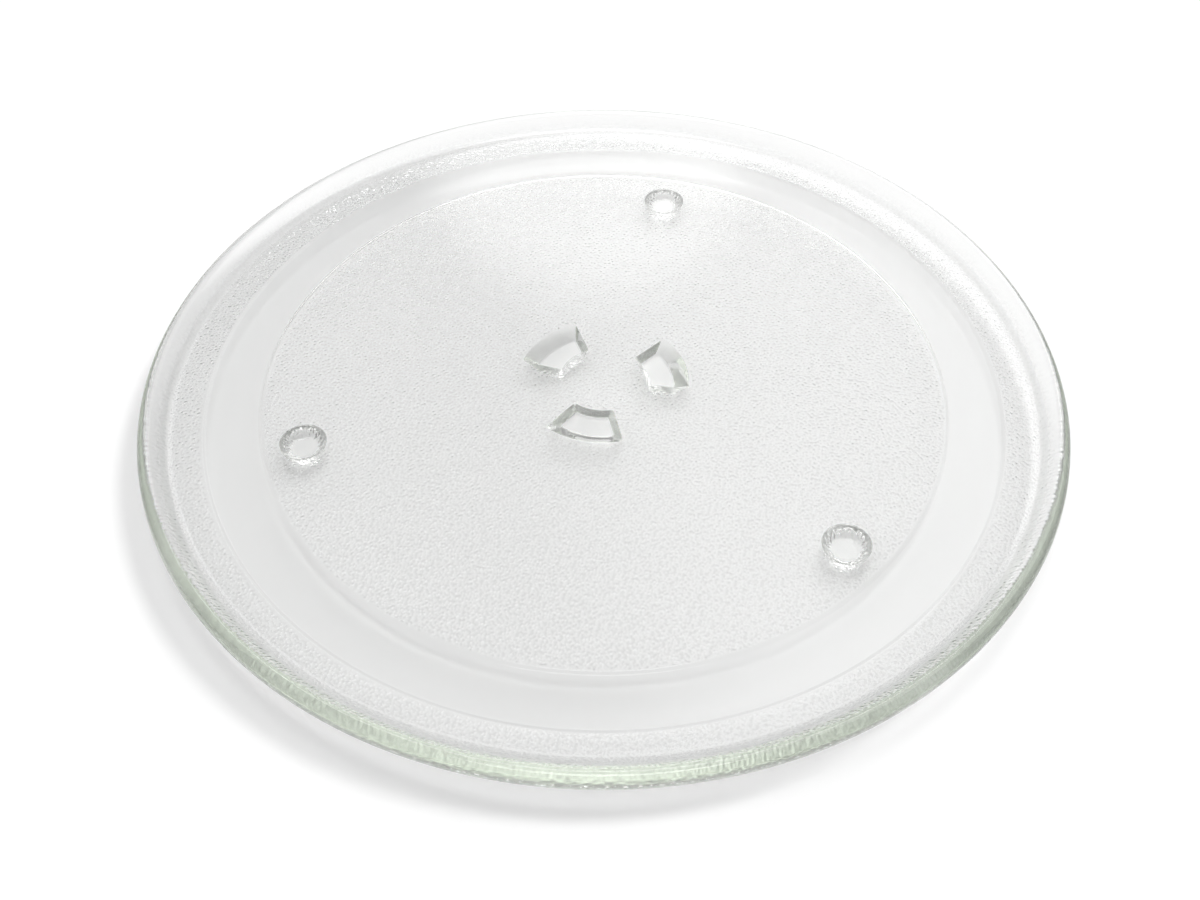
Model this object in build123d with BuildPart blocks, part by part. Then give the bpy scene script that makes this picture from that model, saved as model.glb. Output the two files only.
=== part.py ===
import os
from math import cos, radians, sin, tan

from build123d import *

# Microwave turntable plate: one pressing of clear glass, standing on the round feet of its underside.
# Millimetres, +Z up, with the origin on the axis at the height of the table.

# Plate section
plate_diameter = 255.0
floor_thickness = 4.5
rim_rise = 4.5
wall_thickness = 4.6
wall_angle = 45.0
well_corner_radius = 5.0
heel_radius = 4.0

# Smooth ring on the underside that the roller wheels run on, set in from the edge of the plate
track_inset = 16.2
track_width = 15.0
track_relief = 0.3
track_edge_slope = 45.0

# Round feet on the underside, inside the ring
foot_count = 3
foot_height = 4.5
foot_track_distance = 11.2
foot_root_diameter = 12.8
foot_pad_diameter = 7.6
foot_pad_chamfer = 1.0

# Drive lugs round the axis, which the arms of the drive coupler push on
lug_count = 3
lug_span = 53.0
lug_inner_radius = 12.4
lug_outer_radius = 24.4
lug_inner_draft = 10.0
lug_outer_draft = 43.5
lug_end_draft = 17.5
lug_tip_chamfer = 0.5
lug_table_clearance = 0.4

# Heights over the table
track_height = foot_height
underside_height = track_height + track_relief
floor_height = underside_height + floor_thickness
rim_height = floor_height + rim_rise

# The wall keeps its thickness up to a full round lip, so both of its faces are tangent to the lip
lip_radius = wall_thickness / 2
lip_centre_radius = plate_diameter / 2 - lip_radius
lip_centre_height = rim_height - lip_radius
lip_reach = lip_radius * sin(radians(wall_angle))
lip_lift = lip_radius * cos(radians(wall_angle))
wall_slope = tan(radians(wall_angle))
well_radius = lip_centre_radius - lip_reach - (lip_centre_height + lip_lift - floor_height) / wall_slope
heel_reach = (lip_centre_height - lip_lift - underside_height) / wall_slope
heel_corner_radius = lip_centre_radius + lip_reach - heel_reach

# The smooth ring stands proud of the textured glass on both sides of it
track_outer_radius = plate_diameter / 2 - track_inset
track_inner_radius = track_outer_radius - track_width
track_edge_width = track_relief / tan(radians(track_edge_slope))

# Feet and lugs taper towards their tips, and their roots reach into the floor
root_depth = floor_thickness / 3
root_height = underside_height + root_depth
foot_circle_radius = track_inner_radius - foot_track_distance
lug_height = underside_height - lug_table_clearance
lug_inner_slope = tan(radians(lug_inner_draft))
lug_outer_slope = tan(radians(lug_outer_draft))

# Each lug stands midway between two feet
foot_start_angle = 90.0
lug_start_angle = foot_start_angle + 180.0 / foot_count - lug_span / 2

# Round foot: a short tapered stud with a bevelled pad
with BuildPart() as round_foot:
    with BuildSketch(Plane.XZ):
        with BuildLine():
            Polyline(
                (0, 0),
                (foot_pad_diameter / 2, 0),
                (foot_root_diameter / 2, underside_height),
                (foot_root_diameter / 2, root_height),
                (0, root_height),
                close=True,
            )
        make_face()
    revolve(axis=Axis.Z)
    foot_pad = round_foot.faces().sort_by(Axis.Z)[0]
    chamfer(foot_pad.edges(), foot_pad_chamfer)

# Drive lug: a radial section swept round the axis, with drafted ends and a bevelled tip
with BuildPart() as drive_lug:
    with BuildSketch(Plane.XZ):
        with BuildLine():
            Polyline(
                (lug_inner_radius - root_depth * lug_inner_slope, root_height),
                (lug_inner_radius + lug_height * lug_inner_slope, lug_table_clearance),
                (lug_outer_radius - lug_height * lug_outer_slope, lug_table_clearance),
                (lug_outer_radius + root_depth * lug_outer_slope, root_height),
                close=True,
            )
        make_face()
    revolve(axis=Axis.Z, revolution_arc=lug_span)
    lug_flats = drive_lug.faces().filter_by(GeomType.PLANE)
    lug_ends = lug_flats.filter_by(lambda face: abs(face.normal_at().Z) < 0.001)
    draft(lug_ends, Plane.XY.offset(underside_height), lug_end_draft)
    lug_tip = drive_lug.faces().sort_by(Axis.Z)[0]
    chamfer(lug_tip.edges(), lug_tip_chamfer)

# Glass plate: a section turned about the axis, with the feet and lugs of the same pressing
with BuildPart() as glass_plate:
    with BuildSketch(Plane.XZ):
        with BuildLine():
            underside = Polyline(
                (0, underside_height),
                (track_inner_radius, underside_height),
                (track_inner_radius + track_edge_width, track_height),
                (track_outer_radius - track_edge_width, track_height),
                (track_outer_radius, underside_height),
            )
            outer_wall = FilletPolyline(
                underside @ 1,
                (heel_corner_radius, underside_height),
                (lip_centre_radius + lip_reach, lip_centre_height - lip_lift),
                radius=heel_radius,
            )
            lip = JernArc(outer_wall @ 1, outer_wall % 1, lip_radius, 180)
            inner_wall = FilletPolyline(
                lip @ 1,
                (well_radius, floor_height),
                (0, floor_height),
                radius=well_corner_radius,
            )
            Line(inner_wall @ 1, underside @ 0)
        make_face()
    revolve(axis=Axis.Z)
    with PolarLocations(foot_circle_radius, foot_count, foot_start_angle):
        add(round_foot.part)
    with PolarLocations(0, lug_count, lug_start_angle):
        add(drive_lug.part)
glass_plate.part.label = "glass_plate"

os.makedirs("parts", exist_ok=True)
export_step(glass_plate.part, "parts/glass_plate.step")
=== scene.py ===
import math
import random

import bmesh
import bpy
from mathutils import Matrix, Vector
from mathutils.geometry import delaunay_2d_cdt
from mathutils.kdtree import KDTree


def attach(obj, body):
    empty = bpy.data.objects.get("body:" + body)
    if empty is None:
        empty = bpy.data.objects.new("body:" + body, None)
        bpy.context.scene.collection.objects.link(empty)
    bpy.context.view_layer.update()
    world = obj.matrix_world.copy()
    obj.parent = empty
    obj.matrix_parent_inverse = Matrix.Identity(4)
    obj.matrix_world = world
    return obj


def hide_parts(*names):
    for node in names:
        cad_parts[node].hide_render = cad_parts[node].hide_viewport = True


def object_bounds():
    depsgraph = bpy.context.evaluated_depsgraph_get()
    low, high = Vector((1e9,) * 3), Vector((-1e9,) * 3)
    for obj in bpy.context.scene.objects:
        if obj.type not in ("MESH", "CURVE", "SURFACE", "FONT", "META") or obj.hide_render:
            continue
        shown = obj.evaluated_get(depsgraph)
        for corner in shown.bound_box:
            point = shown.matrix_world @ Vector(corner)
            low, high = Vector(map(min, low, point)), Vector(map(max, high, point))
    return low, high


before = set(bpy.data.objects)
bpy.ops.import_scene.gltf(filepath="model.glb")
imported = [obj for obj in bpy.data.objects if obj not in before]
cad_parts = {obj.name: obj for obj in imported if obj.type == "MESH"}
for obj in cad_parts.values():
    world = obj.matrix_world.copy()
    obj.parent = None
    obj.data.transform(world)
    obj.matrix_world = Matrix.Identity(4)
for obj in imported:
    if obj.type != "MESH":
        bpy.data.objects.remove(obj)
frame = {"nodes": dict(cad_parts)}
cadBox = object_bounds()
mm = 0.001
print("frame loaded:", ", ".join(frame["nodes"]))


# One pressing of glass: a turned section, three feet and three drive lugs on the underside
plate = {
    "radius": (cadBox[1].x - cadBox[0].x) / 2,
    "rimHeight": cadBox[1].z,
    "rimRise": 4.5 * mm,
    "floorThickness": 4.5 * mm,
    "wallThickness": 4.6 * mm,
    "wallAngle": math.radians(45),
    "wellCornerRadius": 5.0 * mm,
    "heelRadius": 4.0 * mm,
    "trackInset": 16.2 * mm,
    "trackWidth": 15.0 * mm,
    "trackRelief": 0.3 * mm,
    "trackEdge": 1.35 * mm,  # width of the soft step at each edge of the track
    "wallStipple": 0.8,  # texture at the foot of the wall, which fades to none at the lip
    "frostInset": 7.5 * mm,  # outside of this the textured wall is also dull
    "frostFade": 3.0 * mm,
    "turnSteps": 720,  # vertices round every turned ring
}
foot = {
    "count": 3,
    "startAngle": math.radians(90),
    "trackDistance": 11.2 * mm,
    "rootRadius": 6.3 * mm,
    "padRadius": 2.8 * mm,
    "padInset": 0.2 * mm,
    "stipple": 2,
    "turnSteps": 64,
}
lug = {
    "count": 3,
    "startAngle": math.radians(150),  # middle of the first lug, between two feet
    "halfSpan": math.radians(26.5),
    "innerRadius": 12.4 * mm,
    "outerRadius": 24.4 * mm,
    "innerDraft": math.radians(10),
    "outerDraft": math.radians(43.5),
    "endDraft": math.radians(17.5),
    "tipRounding": 0.5 * mm,
    "tipInset": 0.15 * mm,
    "rootRounding": 0.15 * mm,
    "cornerRounding": 0.8 * mm,
    "cornerFade": 1.4 * mm,  # rounding of the outer corners at the root
    "tableClearance": 0.4 * mm,
}
stipple = {
    "spacing": 0.84 * mm,  # mesh size in the pressed texture
    "jitter": 0.22,
    "depth": 0.02 * mm,
    "rootMargin": 0.12 * mm,  # flat glass round the root of every foot and lug
    "borderGap": 0.6,  # free share of the spacing along every outline
    "seed": 7,
}

floorHeight = plate["rimHeight"] - plate["rimRise"]
undersideHeight = floorHeight - plate["floorThickness"]
trackOuter = plate["radius"] - plate["trackInset"]
trackInner = trackOuter - plate["trackWidth"]
footCircle = trackInner - foot["trackDistance"]


def arcPoints(centre, radius, start, end, steps):
    angles = [start + (end - start) * i / steps for i in range(steps + 1)]
    return [(centre[0] + radius * math.cos(a), centre[1] + radius * math.sin(a)) for a in angles]


def linePoints(first, last, step):
    count = max(1, round(math.dist(first, last) / step))
    return [
        (first[0] + (last[0] - first[0]) * i / count, first[1] + (last[1] - first[1]) * i / count)
        for i in range(count + 1)
    ]


def turnedSection():
    # Points (radius, height, stipple) from the cooking face round the lip to the inner track edge
    angle = plate["wallAngle"]
    lipRadius = plate["wallThickness"] / 2
    lipCentre = (plate["radius"] - lipRadius, plate["rimHeight"] - lipRadius)
    across = (-math.sin(angle), math.cos(angle))
    wallTop = (lipCentre[0] + lipRadius * across[0], lipCentre[1] + lipRadius * across[1])
    wallFoot = (lipCentre[0] - lipRadius * across[0], lipCentre[1] - lipRadius * across[1])
    wellCorner = wallTop[0] - (wallTop[1] - floorHeight) / math.tan(angle)
    heelCorner = wallFoot[0] - (wallFoot[1] - undersideHeight) / math.tan(angle)

    well = plate["wellCornerRadius"]
    wellCentre = (wellCorner - well * math.tan(angle / 2), floorHeight + well)
    heel = plate["heelRadius"]
    heelCentre = (heelCorner - heel * math.tan(angle / 2), undersideHeight + heel)

    wellArc = arcPoints(wellCentre, well, -math.pi / 2, angle - math.pi / 2, 7)
    lipArc = arcPoints(lipCentre, lipRadius, angle + math.pi / 2, angle - math.pi / 2, 18)
    heelArc = arcPoints(heelCentre, heel, angle - math.pi / 2, -math.pi / 2, 4)
    relief = plate["trackRelief"]
    step = plate["trackEdge"]
    wallStipple = plate["wallStipple"]
    wallUnder = linePoints(lipArc[-1], heelArc[0], stipple["spacing"])
    ringUnder = linePoints(heelArc[-1], (trackOuter + step / 2, undersideHeight), stipple["spacing"])

    section = [(wellArc[0][0] * f, floorHeight, 0) for f in (0.5, 0.97)]
    section += [(r, z, 0) for r, z in wellArc + lipArc]
    fades = [(wallUnder, 0, wallStipple), (heelArc, wallStipple, 1)]
    for points, first, last in fades:
        count = len(points) - 1
        section += [(r, z, first + (last - first) * i / count) for i, (r, z) in enumerate(points) if i]
    section += [(r, z, 1) for r, z in ringUnder[1:-1]]
    rise = [(f, f * f * (3 - 2 * f)) for f in (0, 0.15, 0.3, 0.5, 0.7, 0.85, 1)]
    steps = [(step * (0.5 - f), undersideHeight - relief * lift) for f, lift in rise]
    section += [(trackOuter + shift, z, 0) for shift, z in steps]
    section += [(trackInner - shift, z, 0) for shift, z in reversed(steps)]
    return section


def footSection():
    # Points (radius, height, stipple) about the foot's own axis, from the root to the pad
    flat, reach = foot["padRadius"], foot["rootRadius"] - foot["padRadius"]
    section = [(foot["rootRadius"] + stipple["rootMargin"], undersideHeight, 0)]
    for degrees in (0, 1.5, 9, 18, 27, 36, 45, 54, 63, 72, 81, 90):
        turn = math.radians(degrees)
        height = undersideHeight * (1 - math.sin(turn))
        texture = foot["stipple"] if 5 < degrees < 80 else 0
        section.append((flat + reach * math.cos(turn), height, texture))
    return section + [(flat - foot["padInset"], 0, 0)]


def sideInset(depth, draft, full):
    # How far a drafted, rounded side has come in at a depth under the plate
    root, tip = lug["rootRounding"], lug["tipRounding"]
    slope = math.tan(draft)
    if depth < root * (1 - math.sin(draft)):
        centre = root * slope - root / math.cos(draft)
        return centre + math.sqrt(max(0, root**2 - (root - depth) ** 2))
    if depth > full - tip * (1 - math.sin(draft)):
        centre = (full - tip) * slope + tip / math.cos(draft)
        return centre - math.sqrt(max(0, tip**2 - (depth - full + tip) ** 2))
    return depth * slope


def lugOutline(depth, full, extra=0):
    # Rounded ring sector at a depth under the plate, about the direction of the X axis
    inner = lug["innerRadius"] + sideInset(depth, lug["innerDraft"], full) + extra
    outer = lug["outerRadius"] - sideInset(depth, lug["outerDraft"], full) - extra
    end = sideInset(depth, lug["endDraft"], full) + extra
    corner = lug["cornerRounding"]
    fade = corner + (lug["cornerFade"] - corner) * max(0, 1 - depth / full)
    half = lug["halfSpan"]
    along = Vector((math.cos(half), math.sin(half)))
    inward = Vector((math.sin(half), -math.cos(half)))

    def cornerCentre(reach, rounding):
        return along * math.sqrt(reach**2 - (end + rounding) ** 2) + inward * (end + rounding)

    outerCentre, innerCentre = cornerCentre(outer - fade, fade), cornerCentre(inner + corner, corner)
    outerEnd = math.atan2(outerCentre.y, outerCentre.x)
    innerEnd = math.atan2(innerCentre.y, innerCentre.x)
    endAngle = half + math.pi / 2
    side = arcPoints((0, 0), outer, 0, outerEnd, 12)[:-1]
    side += arcPoints(outerCentre, fade, outerEnd, endAngle, 7)
    endStep = math.dist(side[-1], innerCentre) / 8
    endLine = linePoints(side[-1], tuple(innerCentre - inward * corner), endStep)
    side += endLine[1:-1][:6]  # every outline has as many points
    side += arcPoints(innerCentre, corner, endAngle, innerEnd + math.pi, 5)
    side += arcPoints((0, 0), inner, innerEnd, 0, 8)[1:]
    return side + [(x, -y) for x, y in reversed(side[1:-1])]


class PlateMesh:
    def __init__(self):
        self.points, self.zones, self.polygons = [], [], []

    def loop(self, coords, zone):
        start = len(self.points)
        self.points += [Vector(c) for c in coords]
        self.zones += [zone] * len(coords)
        return list(range(start, len(self.points)))

    def bridge(self, first, second):
        count = len(first)
        for i in range(count):
            j = (i + 1) % count
            self.polygons.append((first[i], first[j], second[j], second[i]))


def turnedLoop(mesh, radius, height, zone, steps, centre=(0, 0)):
    angles = [2 * math.pi * i / steps for i in range(steps)]
    coords = [(centre[0] + radius * math.cos(a), centre[1] + radius * math.sin(a), height) for a in angles]
    return mesh.loop(coords, zone)


def addTurnedBody(mesh):
    loops = [turnedLoop(mesh, r, z, zone, plate["turnSteps"]) for r, z, zone in turnedSection()]
    for first, second in zip(loops, loops[1:]):
        mesh.bridge(first, second)
    mesh.polygons.append(tuple(loops[0]))
    return loops[-1]


def addFoot(mesh, angle):
    centre = (footCircle * math.cos(angle), footCircle * math.sin(angle))
    loops = [turnedLoop(mesh, r, z, zone, foot["turnSteps"], centre) for r, z, zone in footSection()]
    for first, second in zip(loops, loops[1:]):
        mesh.bridge(first, second)
    mesh.polygons.append(tuple(loops[-1]))
    return loops[0]


def addLug(mesh, angle):
    full = undersideHeight - lug["tableClearance"]
    root, tip = lug["rootRounding"], lug["tipRounding"]
    depths = [root * f for f in (0, 0.1, 0.35, 0.8)]
    depths += [full * f for f in (0.35, 0.6)]
    depths += [full - tip * (1 - math.sin(math.radians(a))) for a in (8, 26, 44, 62, 78, 90)]
    turn = Matrix.Rotation(angle, 2)
    loops = []
    levels = [(0, -stipple["rootMargin"])] + [(d, 0) for d in depths] + [(full, lug["tipInset"])]
    for depth, extra in levels:
        outline = [turn @ Vector(p) for p in lugOutline(depth, full, extra)]
        loops.append(mesh.loop([(p.x, p.y, undersideHeight - depth) for p in outline], 0))
    for first, second in zip(loops, loops[1:]):
        mesh.bridge(first, second)
    mesh.polygons.append(tuple(loops[-1]))
    return loops[0]


def fillUnderside(mesh, borders):
    # Dense triangles over the textured disc, joined to the outlines of track, feet and lugs
    chance = random.Random(stipple["seed"])
    step = stipple["spacing"]
    flat = [mesh.points[i].xy for border in borders for i in border]
    known = [i for border in borders for i in border]
    loops, start = [], 0
    for border in borders:
        loops.append(list(range(start, start + len(border))))
        start += len(border)
    outlines = KDTree(len(flat))
    for i, p in enumerate(flat):
        outlines.insert(p.to_3d(), i)
    outlines.balance()
    pitch = 0.866 * step  # rows of even triangles
    rows = int(trackInner / pitch) + 1
    for row in range(-rows, rows + 1):
        for column in range(-rows, rows + 1):
            x = (column + 0.5 * (row % 2)) * step + chance.uniform(-1, 1) * stipple["jitter"] * step
            y = row * pitch + chance.uniform(-1, 1) * stipple["jitter"] * step
            if math.hypot(x, y) > trackInner:
                continue
            if outlines.find((x, y, 0))[2] < stipple["borderGap"] * step:
                continue
            flat.append(Vector((x, y)))
            known += mesh.loop([(x, y, undersideHeight)], 1)
    filled = delaunay_2d_cdt(flat, [], loops, 1, step * 1e-4, True)
    origin = [known[ids[0]] for ids in filled[3]]
    for face, inside in zip(filled[2], filled[5]):
        if inside == [0]:  # in the disc, outside the feet and lugs
            mesh.polygons.append(tuple(origin[i] for i in face))


def buildPlate():
    mesh = PlateMesh()
    borders = [addTurnedBody(mesh)]
    for i in range(foot["count"]):
        borders.append(addFoot(mesh, foot["startAngle"] + 2 * math.pi * i / foot["count"]))
    for i in range(lug["count"]):
        borders.append(addLug(mesh, lug["startAngle"] + 2 * math.pi * i / lug["count"]))
    fillUnderside(mesh, borders)
    data = bpy.data.meshes.new("pressedPlate")
    data.from_pydata(mesh.points, [], mesh.polygons)
    zone = data.attributes.new("stipple", "FLOAT", "POINT")
    zone.data.foreach_set("value", mesh.zones)
    reach = plate["radius"] - plate["frostInset"]
    fades = [(p.xy.length - reach) / plate["frostFade"] for p in mesh.points]
    dull = [weight * min(1, max(0, fade)) for weight, fade in zip(mesh.zones, fades)]
    data.attributes.new("frost", "FLOAT", "POINT").data.foreach_set("value", dull)
    work = bmesh.new()
    work.from_mesh(data)
    bmesh.ops.delete(work, geom=[v for v in work.verts if not v.link_faces], context="VERTS")
    bmesh.ops.recalc_face_normals(work, faces=work.faces)
    work.to_mesh(data)
    work.free()
    piece = bpy.data.objects.new("pressedPlate", data)
    bpy.context.scene.collection.objects.link(piece)
    print("plate mesh:", len(data.vertices), "vertices")
    return piece


def addNodes(nodes, *kinds):
    return [nodes.new("ShaderNode" + kind) for kind in kinds]


def linkNodes(tree, *links):
    for source, target in links:
        tree.links.new(source, target)


def stippleTree():
    tree = bpy.data.node_groups.new("pressedStipple", "GeometryNodeTree")
    sockets = [
        ("Geometry", "INPUT", "NodeSocketGeometry"),
        ("Depth", "INPUT", "NodeSocketFloat"),
        ("Seed", "INPUT", "NodeSocketInt"),
        ("Material", "INPUT", "NodeSocketMaterial"),
        ("Geometry", "OUTPUT", "NodeSocketGeometry"),
    ]
    for name, way, kind in sockets:
        tree.interface.new_socket(name, in_out=way, socket_type=kind)
    add = tree.nodes.new
    inputs, outputs = add("NodeGroupInput"), add("NodeGroupOutput")
    zone = add("GeometryNodeInputNamedAttribute")
    zone.data_type = "FLOAT"
    zone.inputs["Name"].default_value = "stipple"
    height = add("FunctionNodeRandomValue")
    height.data_type = "FLOAT"
    floats = [s for s in height.inputs if s.type == "VALUE"]
    floats[0].default_value, floats[1].default_value = -1, 1
    heightOut = next(s for s in height.outputs if s.type == "VALUE")
    deep, rough = add("ShaderNodeMath"), add("ShaderNodeMath")
    deep.operation = rough.operation = "MULTIPLY"
    normal, along = add("GeometryNodeInputNormal"), add("ShaderNodeVectorMath")
    along.operation = "SCALE"
    press, smooth = add("GeometryNodeSetPosition"), add("GeometryNodeSetShadeSmooth")
    realize, coat = add("GeometryNodeRealizeInstances"), add("GeometryNodeSetMaterial")
    linkNodes(
        tree,
        (inputs.outputs["Seed"], height.inputs["Seed"]),
        (heightOut, rough.inputs[0]),
        (zone.outputs["Attribute"], rough.inputs[1]),
        (rough.outputs[0], deep.inputs[0]),
        (inputs.outputs["Depth"], deep.inputs[1]),
        (normal.outputs[0], along.inputs[0]),
        (deep.outputs[0], along.inputs["Scale"]),
        (inputs.outputs["Geometry"], press.inputs["Geometry"]),
        (along.outputs[0], press.inputs["Offset"]),
        (press.outputs[0], smooth.inputs[0]),
        (smooth.outputs[0], realize.inputs[0]),
        (realize.outputs[0], coat.inputs["Geometry"]),
        (inputs.outputs["Material"], coat.inputs["Material"]),
        (coat.outputs[0], outputs.inputs[0]),
    )
    return tree


def pressStipple(piece, material):
    tree = stippleTree()
    modifier = piece.modifiers.new("pressedStipple", "NODES")
    modifier.node_group = tree
    values = {"Depth": stipple["depth"], "Seed": stipple["seed"], "Material": material}
    for item in tree.interface.items_tree:
        if item.in_out == "INPUT" and item.name in values:
            modifier[item.identifier] = values[item.name]
    evaluated = piece.evaluated_get(bpy.context.evaluated_depsgraph_get())
    pressed = bpy.data.meshes.new_from_object(evaluated)
    piece.modifiers.remove(modifier)
    piece.data = pressed
    print("stipple pressed:", sum(len(p.vertices) - 2 for p in pressed.polygons), "triangles")


glass = {
    "ior": 1.52,
    "tint": (0.3, 0.75, 0.0, 1),  # what is left of light in thick glass
    "tintDensity": 0.9,
    "grain": 0.8 * mm,
    "grainDepth": 0.155 * mm,
    "frost": 0.5,  # roughness of the dull wall
    "paintedWallShade": 0.12,  # and painted shade that makes the dull wall darker
    "paintedCausticShade": 0.13,  # painted shade: dark speckles over the texture, in place of the light and shade it throws on the table
    "paintedShadeOnPlain": 0.3,  # share of that painted shade on the smooth glass
    "paintedSpotLevels": (0.48, 0.62),  # noise levels where a painted dark speck starts and is full
}


def glassMaterial():
    material = bpy.data.materials.new("clearPressedGlass")
    material.use_nodes = True
    nodes = material.node_tree.nodes
    shader = nodes["Principled BSDF"]
    shader.inputs["IOR"].default_value = glass["ior"]
    shader.inputs["Transmission Weight"].default_value = 1
    place, grain, shadeSpots, shadeSpot, paintedShadeTone = addNodes(nodes, "TexCoord", "TexNoise", "MapRange", "Mix", "Math")
    zone, mask, bump = addNodes(nodes, "Attribute", "Math", "Bump")
    frost, dull, shade, tint = addNodes(nodes, "Attribute", "Math", "Math", "VolumeAbsorption")
    grain.noise_dimensions = "2D"
    grain.inputs["Detail"].default_value = 0
    grain.inputs["Scale"].default_value = 1 / glass["grain"]
    zone.attribute_name = "stipple"
    frost.attribute_name = "frost"
    dull.operation = "MULTIPLY"
    dull.inputs[1].default_value = glass["frost"]
    # Painted shade: the dull wall's base colour is made darker, on top of its real roughness
    shade.operation = "MULTIPLY_ADD"
    shade.inputs[1].default_value = -glass["paintedWallShade"]
    mask.operation = "MULTIPLY"
    # Painted shade: the base colour is darkened in speckles over the texture and a little on smooth glass,
    # in place of the light and shade the texture throws on the table
    shadeSpot.inputs["A"].default_value = glass["paintedShadeOnPlain"]
    paintedShadeTone.operation = "MULTIPLY_ADD"
    paintedShadeTone.inputs[1].default_value = -glass["paintedCausticShade"]
    paintedShadeTone.inputs[2].default_value = 1
    shadeSpots.inputs["From Min"].default_value, shadeSpots.inputs["From Max"].default_value = glass["paintedSpotLevels"]
    bump.inputs["Strength"].default_value = 1
    bump.inputs["Distance"].default_value = glass["grainDepth"]
    tint.inputs["Color"].default_value = glass["tint"]
    tint.inputs["Density"].default_value = glass["tintDensity"]
    linkNodes(
        material.node_tree,
        (place.outputs["Object"], grain.inputs["Vector"]),
        (grain.outputs[0], mask.inputs[0]),
        (grain.outputs[0], shadeSpots.inputs["Value"]),
        (shadeSpots.outputs["Result"], shadeSpot.inputs["B"]),
        (zone.outputs["Fac"], shadeSpot.inputs["Factor"]),
        (shadeSpot.outputs["Result"], paintedShadeTone.inputs[0]),
        (frost.outputs["Fac"], shade.inputs[0]),
        (paintedShadeTone.outputs[0], shade.inputs[2]),
        (shade.outputs[0], shader.inputs["Base Color"]),
        (zone.outputs["Fac"], mask.inputs[1]),
        (mask.outputs[0], bump.inputs["Height"]),
        (bump.outputs[0], shader.inputs["Normal"]),
        (frost.outputs["Fac"], dull.inputs[0]),
        (dull.outputs[0], shader.inputs["Roughness"]),
        (tint.outputs[0], nodes["Material Output"].inputs["Volume"]),
    )
    return material


piece = buildPlate()
pressStipple(piece, glassMaterial())
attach(piece, "root")
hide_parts("glass_plate")


studio = {
    "floorSize": 3.0,
    "floorGap": 0.15 * mm,  # thin air under the pads of the feet
    "floorColor": (0.9, 0.9, 0.9, 1),
    "floorLift": 0.03,  # brings the table to white
    "domeLevel": 0.81,
    "horizonLevel": 0.45,
    "frontShare": 0.32,  # the room is darker on the camera's side
    "frontFade": (-0.9, 0.1),
    "domeFade": (0.0, 0.5),
    "softboxes": [
        {"azimuth": 64, "elevation": 44, "level": 1.2, "reach": 24},
        {"azimuth": 91, "elevation": 34, "level": 1.8, "reach": 9},
        {"azimuth": 90, "elevation": 82, "level": 4.0, "reach": 13},
    ],
    "keyAzimuth": 16,  # degrees from the right of the picture towards its back
    "keyElevation": 55,
    "keyLevel": 1.03,
    "keySpread": 16,
    "pictureTurn": math.radians(13.5),  # from the picture's axes to the plate's
}


def towardsLight(azimuth, elevation):
    turn, lift = math.radians(azimuth) + studio["pictureTurn"], math.radians(elevation)
    return Vector((math.cos(turn) * math.cos(lift), math.sin(turn) * math.cos(lift), math.sin(lift)))


def buildFloor():
    half, low = studio["floorSize"] / 2, -studio["floorGap"]
    corners = [(-half, -half, low), (half, -half, low), (half, half, low), (-half, half, low)]
    data = bpy.data.meshes.new("floor")
    data.from_pydata(corners, [], [(0, 1, 2, 3)])
    floor = bpy.data.objects.new("floor", data)
    bpy.context.scene.collection.objects.link(floor)
    material = bpy.data.materials.new("paleTable")
    material.use_nodes = True
    nodes = material.node_tree.nodes
    nodes.remove(nodes["Principled BSDF"])
    matt, white, both = addNodes(nodes, "BsdfDiffuse", "Emission", "AddShader")
    matt.inputs["Color"].default_value = studio["floorColor"]
    path, seen, seenAll, lift = addNodes(nodes, "LightPath", "Math", "Math", "Math")
    seen.operation = seenAll.operation = "MAXIMUM"
    lift.operation = "MULTIPLY"
    lift.inputs[1].default_value = studio["floorLift"]
    linkNodes(
        material.node_tree,
        (path.outputs["Is Camera Ray"], seen.inputs[0]),
        (path.outputs["Is Glossy Ray"], seen.inputs[1]),
        (seen.outputs[0], seenAll.inputs[0]),
        (path.outputs["Is Transmission Ray"], seenAll.inputs[1]),
        (seenAll.outputs[0], lift.inputs[0]),
        (lift.outputs[0], white.inputs["Strength"]),
        (matt.outputs[0], both.inputs[0]),
        (white.outputs[0], both.inputs[1]),
        (both.outputs[0], nodes["Material Output"].inputs["Surface"]),
    )
    data.materials.append(material)


def smoothStep(nodes, start, end, low, high):
    node = nodes.new("ShaderNodeMapRange")
    node.interpolation_type = "SMOOTHSTEP"
    for name, value in (("From Min", start), ("From Max", end), ("To Min", low), ("To Max", high)):
        node.inputs[name].default_value = value
    return node


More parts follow.
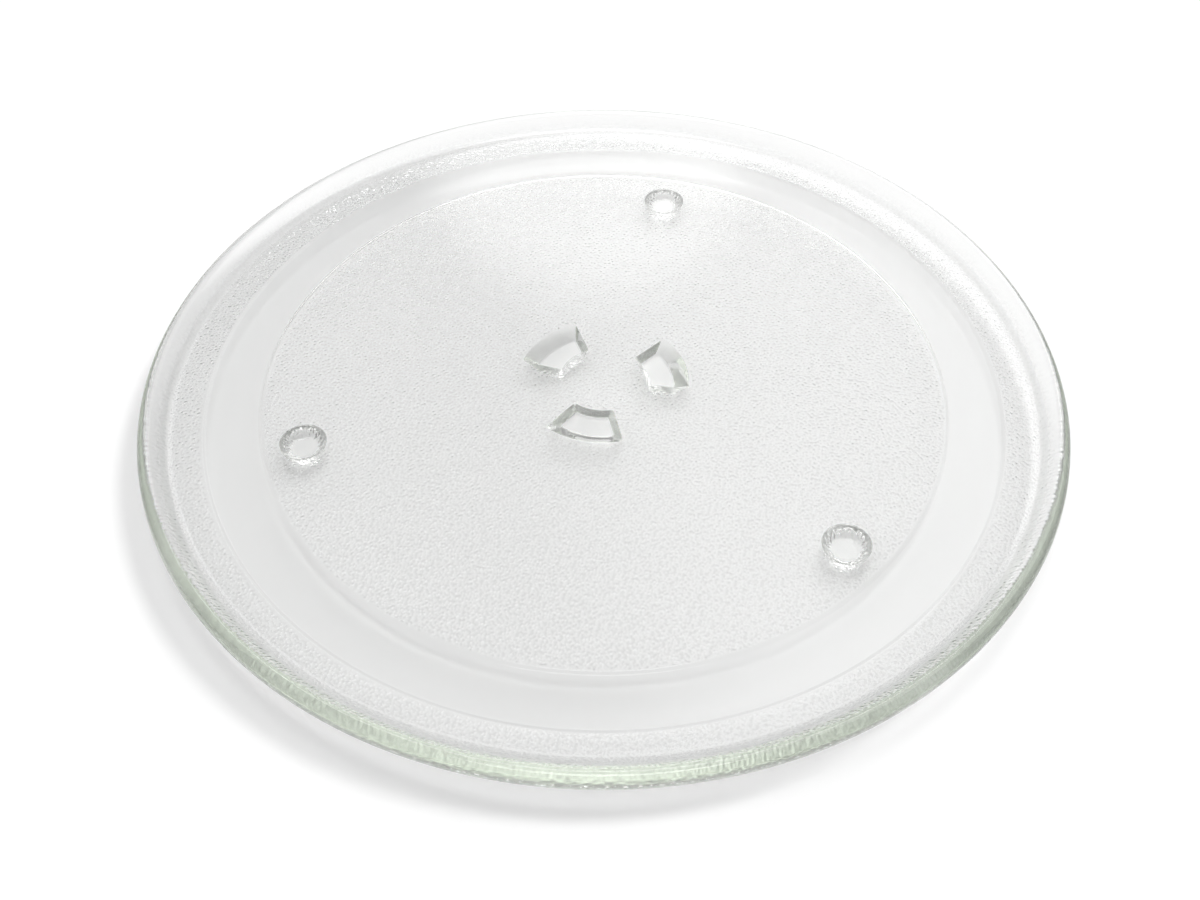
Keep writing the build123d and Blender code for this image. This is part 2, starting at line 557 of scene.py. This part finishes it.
def buildWorld():
    world = bpy.data.worlds.new("softStudio")
    bpy.context.scene.world = world
    world.use_nodes = True
    nodes, links = world.node_tree.nodes, world.node_tree.links
    light = nodes["Background"]
    light.inputs["Color"].default_value = (1, 1, 1, 1)
    place, parts = addNodes(nodes, "TexCoord", "SeparateXYZ")
    links.new(place.outputs["Generated"], parts.inputs[0])

    def facing(direction, start, end, low, high):
        dot = nodes.new("ShaderNodeVectorMath")
        dot.operation = "DOT_PRODUCT"
        dot.inputs[1].default_value = direction
        step = smoothStep(nodes, start, end, low, high)
        links.new(place.outputs["Generated"], dot.inputs[0])
        links.new(dot.outputs["Value"], step.inputs["Value"])
        return step.outputs["Result"]

    dome = smoothStep(nodes, *studio["domeFade"], studio["horizonLevel"], studio["domeLevel"])
    links.new(parts.outputs["Z"], dome.inputs["Value"])
    room = nodes.new("ShaderNodeMath")
    room.operation = "MULTIPLY"
    links.new(dome.outputs["Result"], room.inputs[0])
    front = facing(towardsLight(90, 0), *studio["frontFade"], studio["frontShare"], 1)
    links.new(front, room.inputs[1])
    total = room
    for box in studio["softboxes"]:
        edge, core = (math.cos(math.radians(box["reach"] * f)) for f in (1, 0.5))
        glow = facing(towardsLight(box["azimuth"], box["elevation"]), edge, core, 0, box["level"])
        brighter = nodes.new("ShaderNodeMath")
        links.new(total.outputs[0], brighter.inputs[0])
        links.new(glow, brighter.inputs[1])
        total = brighter
    path, seen = addNodes(nodes, "LightPath", "Mix")
    seen.inputs["B"].default_value = 1
    links.new(path.outputs["Is Camera Ray"], seen.inputs["Factor"])
    links.new(total.outputs[0], seen.inputs["A"])
    links.new(seen.outputs["Result"], light.inputs["Strength"])


def buildKey():
    data = bpy.data.lights.new("key", "SUN")
    data.energy = studio["keyLevel"]
    data.angle = math.radians(studio["keySpread"])
    key = bpy.data.objects.new("key", data)
    bpy.context.scene.collection.objects.link(key)
    aim = towardsLight(studio["keyAzimuth"], studio["keyElevation"])
    key.rotation_euler = aim.to_track_quat("Z", "Y").to_euler()
    key.visible_glossy = key.visible_transmission = False


view = {
    "place": (0.6 * mm, -244.7 * mm, 251.3 * mm),
    "target": (-0.8 * mm, -28.0 * mm, 7.8 * mm),
    "roll": math.radians(-0.22),
    "lens": 36.36,
}


def buildCamera():
    data = bpy.data.cameras.new("camera")
    camera = bpy.data.objects.new("camera", data)
    bpy.context.scene.collection.objects.link(camera)
    turn = Matrix.Rotation(studio["pictureTurn"], 3, "Z")
    place, target = turn @ Vector(view["place"]), turn @ Vector(view["target"])
    data.sensor_width = 36
    data.lens = view["lens"]
    data.clip_start = 0.01
    camera.location = place
    aim = (target - place).to_track_quat("-Z", "Y").to_matrix()
    camera.rotation_euler = (aim @ Matrix.Rotation(view["roll"], 3, "Z")).to_euler()
    bpy.context.scene.camera = camera


buildFloor()
buildWorld()
buildKey()
buildCamera()
bpy.context.scene.view_settings.view_transform = "Standard"
lightPaths = bpy.context.scene.cycles
lightPaths.max_bounces = lightPaths.glossy_bounces = lightPaths.transmission_bounces = 14
lightPaths.blur_glossy = 0
print("studio set")
